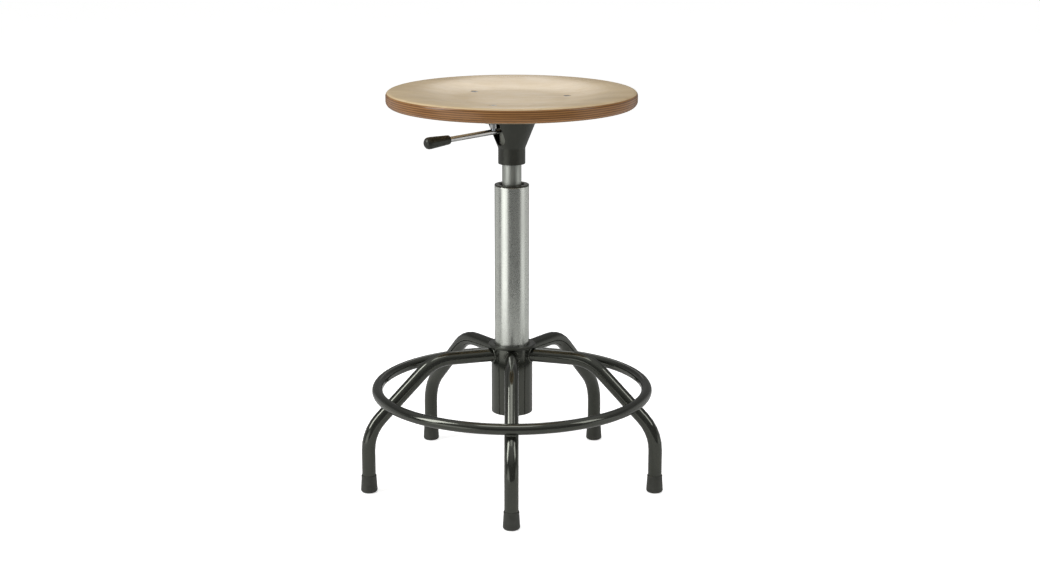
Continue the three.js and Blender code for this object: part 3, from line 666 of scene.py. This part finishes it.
def cross_wing(index, top, quarter):
    """A cutter for one of the two bars of a cross recess, shorter at its foot."""
    half_width, half_length, foot_half_length, depth = 0.55, 2.9, 1.305, 2.0
    turn = math.radians(RECESS_DEGREES + 90 * quarter)
    move = bolt_place(index) @ Matrix.Rotation(turn, 4, "Z")
    rings = [
        [move @ Vector((x * half, y * half_width, height)) for x, y in SQUARE]
        for height, half in ((top - depth, foot_half_length), (top + 1, half_length))
    ]
    return swept(f"cross_wing_{index}_{quarter}", rings)


def build_washer(index):
    extent = Extent(f"seat_washer_{index}")
    bore = BOLT_RADIUS + CLEARANCE
    outline = bush_outline(bore, extent.radius, extent.bottom, extent.top, 0.25)
    washer = turned(f"seat_washer_fine_{index}", outline, SMALL_SEGMENTS, bolt_place(index))
    dress(washer, "seat_column", "seat_fastener", [f"seat_washer_{index}"])


def build_nut(index):
    """A hexagon nut with its lower corners bevelled."""
    extent = Extent(f"seat_nut_{index}")
    move = bolt_place(index)
    bore = BOLT_RADIUS + CLEARANCE
    corner = NUT_ACROSS_FLATS / math.sqrt(3)
    corners = arc_points(0, 0, corner, 0, math.radians(300), 5)
    blank = rounded([(x, y, 0.4) for x, y in corners])
    nut = extruded(f"seat_nut_fine_{index}", blank, extent.bottom, extent.top, 0.0, move)
    below, above = extent.bottom - 1, extent.top + 1
    hole = sharp((0, below), (bore, below), (bore, above), (0, above))
    start = extent.bottom - CLEARANCE
    bevel = sharp((corner - 0.5, start), (corner + 3, start), (corner + 3, start + 2))
    carve(nut, [turned("nut_bore", hole, SMALL_SEGMENTS, move),
                turned("nut_bevel", bevel, SMALL_SEGMENTS, move)])
    dress(nut, "seat_column", "seat_fastener", [f"seat_nut_{index}"], "bright_zinc")


# ------------------------------------------------------------------ bracket, socket and cover

def build_bracket():
    """A plate with a round middle and a round-ended arm out to each bolt."""
    half = BRACKET_ARM_HALF_WIDTH
    hub = BRACKET_HUB_RADIUS
    spread = math.asin(half / hub)
    outline = []
    for index in BOLTS:
        azimuth = azimuth_of(f"seat_bolt_{index}")
        previous = azimuth - math.radians(120)
        outline += arc_points(0, 0, hub, previous + spread, azimuth - spread, 14)
        x, y = BOLT_REACH * math.cos(azimuth), BOLT_REACH * math.sin(azimuth)
        outline += arc_points(x, y, half, azimuth - math.pi / 2, azimuth + math.pi / 2, 16)
    plate = extruded("seat_bracket_fine", outline, BRACKET.bottom, BRACKET.top, 0.4)
    dress(plate, "seat_column", "black_paint", ["seat_bracket"])


def build_socket():
    bore = TUBE.radius + SOCKET_GAP
    outline = bush_outline(bore, SOCKET.radius, SOCKET.bottom, SOCKET.top, 0.6)
    socket = turned("taper_socket_fine", outline, SMALL_SEGMENTS)
    carve(socket, [lever_window()])
    # The socket takes the paler grey, partly painted light that brightens the shade inside the
    # lever's slot.
    dress(socket, "seat_column", "black_paint", ["taper_socket"], "socket_steel_painted_fill")


def lever_window():
    """A block through the socket's wall that leaves room round the lever."""
    move = about_axis(LEVER_AZIMUTH, 0, LEVER_HEIGHT)
    half = LEVER_RADIUS + LEVER_ROOM
    reaches = (SOCKET.radius / 2, SOCKET.radius + CUT_MARGIN)
    rings = [[move @ Vector((reach, y * half, z * half)) for y, z in SQUARE] for reach in reaches]
    return swept("lever_window", rings)


def build_cover():
    wall = COVER_WALL
    lip = TUBE.radius + COVER_GAP
    outline = rounded([
        (lip, COVER.bottom, 0.3),
        (NECK_RADIUS, COVER.bottom, 0.9),
        (NECK_RADIUS, NECK_TOP, 3),
        (COVER.radius, COVER.top, 0.5),
        (COVER.radius - wall, COVER.top, 0.5),
        (NECK_RADIUS - wall, NECK_TOP, 3),
        (NECK_RADIUS - wall, COVER.bottom + wall, 0.5),
        (lip, COVER.bottom + wall, 0.5),
    ])
    cover = turned("cone_cover_fine", outline)
    carve(cover, [cover_slot()])
    dress(cover, "seat_column", "black_plastic", ["cone_cover"])


def cover_slot():
    """A cutter for the lever's slot: round at its foot and open at the cover's top."""
    above = COVER.top + CUT_MARGIN
    shape = arc_points(0, SLOT_BOTTOM + SLOT_HALF_WIDTH, SLOT_HALF_WIDTH, -math.pi, 0, 24)
    shape += [Vector((SLOT_HALF_WIDTH, above)), Vector((-SLOT_HALF_WIDTH, above))]
    move = about_axis(LEVER_AZIMUTH)
    reaches = (LEVER_RADIUS, COVER.radius + CUT_MARGIN)
    rings = [[move @ Vector((reach, point.x, point.y)) for point in shape] for reach in reaches]
    return swept("cover_slot", rings)


# ------------------------------------------------------------------ lever

def lever_line():
    """The move from a piece drawn up the Z axis to the lever's own line."""
    lay_down = Matrix.Rotation(math.pi / 2 + LEVER_DROOP, 4, "Y")
    return about_axis(LEVER_AZIMUTH, 0, LEVER_HEIGHT) @ lay_down


def pivot_bore():
    """A cutter for the pivot pin's hole, which lies level and square to the lever."""
    radius = PIVOT_PIN_RADIUS + CLEARANCE
    reach = LEVER_RADIUS + CUT_MARGIN
    outline = sharp((0, -reach), (radius, -reach), (radius, reach), (0, reach))
    across = Matrix.Rotation(math.pi / 2, 4, "X")
    along = Matrix.Translation((0, 0, PIVOT_REACH / math.cos(LEVER_DROOP)))
    return turned("pivot_bore", outline, SMALL_SEGMENTS, lever_line() @ along @ across)


def build_lever():
    grip_start = LEVER_LENGTH - GRIP_LENGTH
    bore_end = LEVER_LENGTH - GRIP_BLIND_END
    rod_end = bore_end - CLEARANCE
    rod_outline = rounded([
        (0, LEVER_INNER_END, 0),
        (LEVER_RADIUS, LEVER_INNER_END, 0.8),
        (LEVER_RADIUS, rod_end, 0.5),
        (0, rod_end, 0),
    ], closed=False)
    rod = turned("lever_rod_fine", rod_outline, SMALL_SEGMENTS, lever_line())
    carve(rod, [pivot_bore()])
    dress(rod, "release_lever", "lever_steel", ["lever_rod"])
    grip_outline = rounded([
        (0, bore_end, 0),
        (LEVER_RADIUS + CLEARANCE, bore_end, 0),
        (LEVER_RADIUS + CLEARANCE, grip_start, 0.3),
        (GRIP_SMALL_RADIUS, grip_start, 1.7),
        (GRIP_LARGE_RADIUS, LEVER_LENGTH - GRIP_LARGE_RADIUS, 12),
        (GRIP_LARGE_RADIUS - 0.4, LEVER_LENGTH, 6.2),
        (0, LEVER_LENGTH, 0),
    ], closed=False)
    grip = turned("lever_grip_fine", grip_outline, SMALL_SEGMENTS, lever_line())
    dress(grip, "release_lever", "black_plastic", ["lever_grip"], "grip_plastic")


# ------------------------------------------------------------------ column

def build_column():
    tube_outline = bush_outline(TUBE_BORE, TUBE.radius, TUBE.bottom, TUBE.top, 0.6)
    tube = turned("pressure_tube_fine", tube_outline)
    dress(tube, "seat_column", "chrome_tube", ["pressure_tube"])
    bore = TUBE.radius + CLEARANCE
    column_bore = COLUMN.radius - COLUMN_WALL
    flange = BUSH.top - BUSH_FLANGE
    bush = turned("guide_bush_fine", rounded([
        (bore, BUSH.bottom, 0.4),
        (column_bore - CLEARANCE, BUSH.bottom, 0.4),
        (column_bore - CLEARANCE, flange, 0),
        (COLUMN.radius, flange, 0.2),
        (COLUMN.radius, BUSH.top, 0.8),
        (bore + BUSH_FUNNEL, BUSH.top, 0.5),
        (bore, BUSH.top - BUSH_FUNNEL, 0.5),
    ]))
    dress(bush, "base", "black_plastic", ["guide_bush"])
    floor_top = COLUMN.bottom + COLUMN_FLOOR
    outer = turned("column_tube_fine", rounded([
        (COLUMN_FLOOR_HOLE, COLUMN.bottom, 0.3),
        (COLUMN.radius, COLUMN.bottom, 1.2),
        (COLUMN.radius, COLUMN.top, 0.5),
        (column_bore, COLUMN.top, 0.3),
        (column_bore, floor_top, 0.5),
        (COLUMN_FLOOR_HOLE, floor_top, 0.3),
    ]))
    dress(outer, "base", "satin_column", ["column_tube"])


# ------------------------------------------------------------------ base

def build_hub():
    bore = COLUMN.radius + CLEARANCE
    hub = turned("hub_tube_fine", bush_outline(bore, HUB.radius, HUB.bottom, HUB.top, 0.8))
    dress(hub, "base", "black_paint", ["hub_tube"])
    collar = turned("hub_collar_fine", rounded([
        (bore, COLLAR.bottom, 0.4),
        (COLLAR.radius, COLLAR.bottom, 1.3),
        (COLLAR.radius, COLLAR.top, 1.6),
        (bore, COLLAR.top, 0.9),
    ]))
    dress(collar, "base", "black_plastic", ["hub_collar"])


def leg_path():
    """The leg's centre line as (reach, height): level from the hub, down a slope, then upright."""
    ankle_height = LEG_HEIGHT - (FOOT_REACH - KNEE_REACH)
    return rounded([
        (HUB.radius, LEG_HEIGHT, 0),
        (KNEE_REACH, LEG_HEIGHT, KNEE_BEND),
        (FOOT_REACH, ankle_height, ANKLE_BEND),
        (FOOT_REACH, FOOT.bottom + FOOT_SOLE + CLEARANCE, 0),
    ], closed=False)


def leg_rings(sides=40):
    """Rings round the leg's centre line; the first follows the hub's round wall."""
    path = leg_path()
    rings = []
    for index, point in enumerate(path):
        before = path[max(index - 1, 0)]
        after = path[min(index + 1, len(path) - 1)]
        tangent = (after - before).normalized()
        up = Vector((-tangent.y, tangent.x))
        ring = []
        for step in range(sides):
            angle = 2 * math.pi * step / sides
            across = LEG_RADIUS * math.cos(angle)
            lift = LEG_RADIUS * math.sin(angle)
            spot = Vector((point.x + up.x * lift, across, point.y + up.y * lift))
            if index == 0:
                spot.x = math.sqrt(HUB.radius ** 2 - across ** 2) + CLEARANCE / 3
            ring.append(spot)
        rings.append(ring)
    return rings


def bead(name, centres, normals, radius, ripples, loop):
    """A weld bead: a rippled cord along its centres, flattened away from the normals."""
    sides = 12
    ripple = 0.10
    flatness = 0.8
    count = len(centres)
    rings = []
    for index, centre in enumerate(centres):
        before = centres[index - 1] if loop or index else centre
        after = centres[(index + 1) % count] if loop or index < count - 1 else centre
        tangent = (after - before).normalized()
        normal = (normals[index] - tangent * normals[index].dot(tangent)).normalized()
        side = tangent.cross(normal)
        share = index / count if loop else index / (count - 1)
        swell = radius * (1 + ripple * math.sin(2 * math.pi * ripples * share))
        if not loop:
            swell *= 0.25 + 0.75 * math.sin(math.pi * (0.06 + 0.88 * share)) ** 0.5
        rings.append([
            centre + normal * swell * flatness * math.sin(2 * math.pi * step / sides)
            + side * swell * math.cos(2 * math.pi * step / sides)
            for step in range(sides)
        ])
    return swept(name, rings, sharp_degrees=60, loop=loop)


def hub_weld(name, azimuth):
    """The bead round a leg where it meets the hub, kept just below the hub's rim."""
    steps = 96
    proud = 0.5
    radius = LEG_RADIUS + proud
    highest = HUB.top - 1.9
    turn = Matrix.Rotation(azimuth, 4, "Z")
    centres, normals = [], []
    for step in range(steps):
        angle = 2 * math.pi * step / steps
        across = radius * math.cos(angle)
        height = min(LEG_HEIGHT + radius * math.sin(angle), highest)
        out = math.sqrt(HUB.radius ** 2 - across ** 2) + proud
        centres.append(turn @ Vector((out, across, height)))
        away = Vector((1, math.cos(angle), math.sin(angle)))
        normals.append((turn @ away).normalized())
    return bead(name, centres, normals, radius=1.7, ripples=22, loop=True)


def ring_weld(name, azimuth, downhill):
    """A short bead in the corner between ring and leg, on the downhill or the uphill side."""
    steps = 28
    half_length = 6.5
    sunk, along, lift, sag = 0.4, 5.2, 0.6, 0.75
    turn = Matrix.Rotation(azimuth, 4, "Z")
    outward = Vector((1, 0, 1)).normalized()
    slope = Vector((1, 0, -1)).normalized() * downhill
    contact = Vector((RING_REACH, 0, RING_MIDDLE)) - outward * (RING_RADIUS + sunk)
    centres, normals = [], []
    for step in range(steps + 1):
        across = half_length * (2 * step / steps - 1)
        drop = LEG_RADIUS - math.sqrt(LEG_RADIUS ** 2 - across ** 2)
        corner = contact + slope * along + outward * (lift - sag * drop)
        centres.append(turn @ (corner + Vector((0, across, 0))))
        normals.append((turn @ (outward + slope)).normalized())
    return bead(name, centres, normals, radius=2.9, ripples=6, loop=False)


def build_leg(index):
    """A leg with its welds at the hub and at the ring, and its rubber foot."""
    azimuth = azimuth_of(f"foot_{index}")
    turn = Matrix.Rotation(azimuth, 4, "Z")
    rings = [[turn @ spot for spot in ring] for ring in leg_rings()]
    tube = swept(f"leg_fine_{index}", rings)
    dress(tube, "base", "black_paint", [f"leg_{index}"])
    dress(hub_weld(f"hub_weld_{index}", azimuth), "base", "black_paint")
    dress(ring_weld(f"ring_weld_low_{index}", azimuth, 1), "base", "black_paint")
    dress(ring_weld(f"ring_weld_high_{index}", azimuth, -1), "base", "black_paint")
    bore = LEG_RADIUS + CLEARANCE
    ferrule = turned(f"foot_fine_{index}", rounded([
        (0, FOOT.bottom, 0),
        (FOOT_BASE_RADIUS, FOOT.bottom, 3.6),
        (FOOT_TOP_RADIUS - 0.15, FOOT.top - 3.2, 1.5),
        (FOOT_TOP_RADIUS, FOOT.top, 0.8),
        (bore, FOOT.top, 0.3),
        (bore, FOOT.bottom + FOOT_SOLE, 0.5),
        (0, FOOT.bottom + FOOT_SOLE, 0),
    ], closed=False), SMALL_SEGMENTS, about_axis(azimuth, FOOT_REACH))
    dress(ferrule, "base", "black_rubber", [f"foot_{index}"])


def build_ring():
    circle = arc_points(RING_REACH, RING_MIDDLE, RING_RADIUS, 0, 2 * math.pi, 32)[:-1]
    ring = turned("foot_ring_fine", circle, LARGE_SEGMENTS)
    dress(ring, "base", "black_paint", ["foot_ring"])


# ------------------------------------------------------------------ hidden CAD pieces

HIDDEN = {
    "bearing_steel": [
        "bearing_lower_race", "bearing_upper_race", *(f"bearing_ball_{index}" for index in BALLS),
        "rod_clip", "rod_clip_washer", "piston_nut", "valve_pin",
    ],
    "brass": ["ball_cage", "piston", "valve_body"],
    "black_rubber": ["rubber_bumper", "piston_seal", "rod_seal"],
    "black_plastic": ["rod_guide"],
    "chrome_tube": ["piston_rod"],
    "lever_steel": ["lever_pivot_pin"],
}


def dress_hidden():
    """Gives the CAD nodes that stay as they are the material of their own finish."""
    for material, nodes in HIDDEN.items():
        for node in nodes:
            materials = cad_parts[node].data.materials
            materials.clear()
            materials.append(MATERIALS[material])


# ------------------------------------------------------------------ stage

SENSOR_WIDTH = 36
LENS = 66.19
CAMERA_PLACE = (11.84, -2715.7, 958.5)  # millimetres about the column's axis
CAMERA_DIP = 0.2437  # radians below level


def add_camera():
    data = bpy.data.cameras.new("camera")
    data.sensor_width = SENSOR_WIDTH
    data.lens = LENS
    camera = bpy.data.objects.new("camera", data)
    camera.location = place(CAMERA_PLACE)
    camera.rotation_euler = (math.pi / 2 - CAMERA_DIP, 0, 0)
    bpy.context.scene.collection.objects.link(camera)
    bpy.context.scene.camera = camera


FLOOR_HALF = 40
FLOOR_DROP = 0.3 * MM
FLOOR_GLOW = 0.62  # the paper is lit from below as well, so it stays white far behind the stool
WALL_RADIUS = 39
WALL_HEIGHT = 60
WALL_FOOT = 1  # how far the wall goes below the floor
WALL_GLOW = 1
CARD_RADIUS = 0.9
CARD_DROP = 0.2 * MM
PAPER_TONES = ((0.90, 0.90, 0.895), (0.93, 0.93, 0.925))
CARD_TONES = ((0.68, 0.68, 0.677), (0.74, 0.74, 0.737))


def paper(name, tones, glow=0):
    """Matt paper, faintly mottled between two tones, with a glow of its own."""
    s = Shader(name, specular=0.1, glow_color=WHITE, glow=glow)
    s.color(s.ramp(s.noise(3, detail=3), list(zip((0.3, 0.7), tones))))
    s.roughness(s.remap(s.noise(8, detail=3), 0.3, 0.7, 0.7, 0.8))
    return s.material


def stage_object(name, data, material, unseen_by):
    """A part of the stage, hidden from the kinds of ray that are named."""
    obj = bpy.data.objects.new(name, data)
    for ray in unseen_by:
        setattr(obj, f"visible_{ray}", False)
    bpy.context.scene.collection.objects.link(obj)
    data.materials.append(material)
    return obj


def stage_mesh(name, solid):
    """The mesh that a bmesh holds, which is then freed."""
    data = bpy.data.meshes.new(name)
    solid.to_mesh(data)
    solid.free()
    return data


def add_floor():
    data = bpy.data.meshes.new("floor")
    corners = [(x * FLOOR_HALF, y * FLOOR_HALF, 0) for x, y in SQUARE]
    data.from_pydata(corners, [], [(0, 1, 2, 3)])
    material = paper("floor_paper", PAPER_TONES, FLOOR_GLOW)
    floor = stage_object("floor", data, material, ("glossy",))
    floor.location.z = -FLOOR_DROP


def add_backdrop():
    """A pale round wall at the paper's far edge, seen by the camera alone, so no horizon shows."""
    solid = bmesh.new()
    lower = bmesh.ops.create_circle(solid, radius=WALL_RADIUS, segments=SEGMENTS)
    wall = bmesh.ops.extrude_edge_only(solid, edges=solid.edges[:])
    raised = [item for item in wall["geom"] if isinstance(item, bmesh.types.BMVert)]
    bmesh.ops.translate(solid, verts=lower["verts"], vec=(0, 0, -WALL_FOOT))
    bmesh.ops.translate(solid, verts=raised, vec=(0, 0, WALL_HEIGHT))
    material = paper("backdrop_paper", PAPER_TONES, WALL_GLOW)
    unseen_by = ("diffuse", "glossy", "transmission", "shadow")
    stage_object("backdrop", stage_mesh("backdrop", solid), material, unseen_by)


def add_bounce_card():
    """A pale card round the feet that only reflections see: the paper's light on the tubes."""
    solid = bmesh.new()
    bmesh.ops.create_circle(solid, cap_ends=True, radius=CARD_RADIUS, segments=SEGMENTS)
    material = paper("bounce_card", CARD_TONES)
    unseen_by = ("camera", "diffuse", "shadow")
    card = stage_object("bounce_card", stage_mesh("bounce_card", solid), material, unseen_by)
    card.location = (AXIS.x, AXIS.y, -CARD_DROP)


def add_softbox(name, location, target, size, power):
    """A rectangular light of the given width and height that faces its target."""
    data = bpy.data.lights.new(name, "AREA")
    data.shape = "RECTANGLE"
    data.size, data.size_y = size
    data.energy = power
    lamp = bpy.data.objects.new(name, data)
    lamp.location = location
    direction = Vector(target) - Vector(location)
    lamp.rotation_euler = direction.to_track_quat("-Z", "Y").to_euler()
    lamp.visible_camera = False
    bpy.context.scene.collection.objects.link(lamp)


WORLD_BASE = 0.18
# Each patch: the way to it, the cosines off that way where it starts and is full, its strength.
WORLD_LOBES = (
    ((-0.85, 0.50, -0.25), 0.78, 0.97, 0.40),
    ((0.85, 0.50, -0.25), 0.78, 0.97, 0.40),
    ((-0.77, -0.64, -0.18), 0.87, 0.98, 1.45),
    ((0.98, -0.21, -0.18), 0.93, 0.99, 0.78),
    ((0.0, -0.1, 1.0), 0.4, 0.9, 0.40),
    ((0.0, 0.0, -1.0), 0.3, 0.8, 0.30),
)


def add_world():
    """A dim even glow with soft bright patches to the left, the right, above and below."""
    world = bpy.data.worlds.new("studio")
    bpy.context.scene.world = world
    world.use_nodes = True
    nodes, links = world.node_tree.nodes, world.node_tree.links
    background = nodes["Background"]
    direction = nodes.new("ShaderNodeTexCoord").outputs["Generated"]
    total = None
    for toward, low, high, amount in WORLD_LOBES:
        aim = nodes.new("ShaderNodeVectorMath")
        aim.operation = "DOT_PRODUCT"
        aim.inputs[1].default_value = Vector(toward).normalized()
        links.new(direction, aim.inputs[0])
        lobe = nodes.new("ShaderNodeMapRange")
        lobe.interpolation_type = "SMOOTHSTEP"
        for socket, value in zip(list(lobe.inputs)[1:5], (low, high, 0, amount)):
            socket.default_value = value
        links.new(aim.outputs["Value"], lobe.inputs[0])
        add = nodes.new("ShaderNodeMath")
        links.new(lobe.outputs[0], add.inputs[0])
        if total is None:
            add.inputs[1].default_value = WORLD_BASE
        else:
            links.new(total, add.inputs[1])
        total = add.outputs[0]
    links.new(total, background.inputs["Strength"])
    background.inputs["Color"].default_value = WHITE


STOOL_MIDDLE = (0, 0, 0.35)
DISH_MIDDLE = (0, 0, 0.57)
SOFTBOXES = (  # name, place, target, width and height, watts
    ("key", (-2.03, -0.62, 1.70), STOOL_MIDDLE, (0.80, 1.9), 36),
    ("fill", (2.1, -0.8, 1.7), STOOL_MIDDLE, (0.8, 1.2), 10.5),
    ("top", (-0.1, -0.75, 3.0), STOOL_MIDDLE, (1.6, 1.2), 14),
    ("back_low", (0, 1.8, 0.97), DISH_MIDDLE, (0.2, 0.36), 0.12),
    ("back_high", (0, 1.8, 1.42), DISH_MIDDLE, (0.3, 0.5), 0.90),
)


# ------------------------------------------------------------------ the scene

add_camera()
add_floor()
add_backdrop()
add_bounce_card()
add_world()
for softbox in SOFTBOXES:
    add_softbox(*softbox)
bpy.context.scene.view_settings.view_transform = "Standard"

build_seat()
for number in BOLTS:
    build_seat_bolt(number)
    build_washer(number)
    build_nut(number)
build_bracket()
build_socket()
build_cover()
build_lever()
build_column()
build_hub()
for number in LEGS:
    build_leg(number)
build_ring()
dress_hidden()
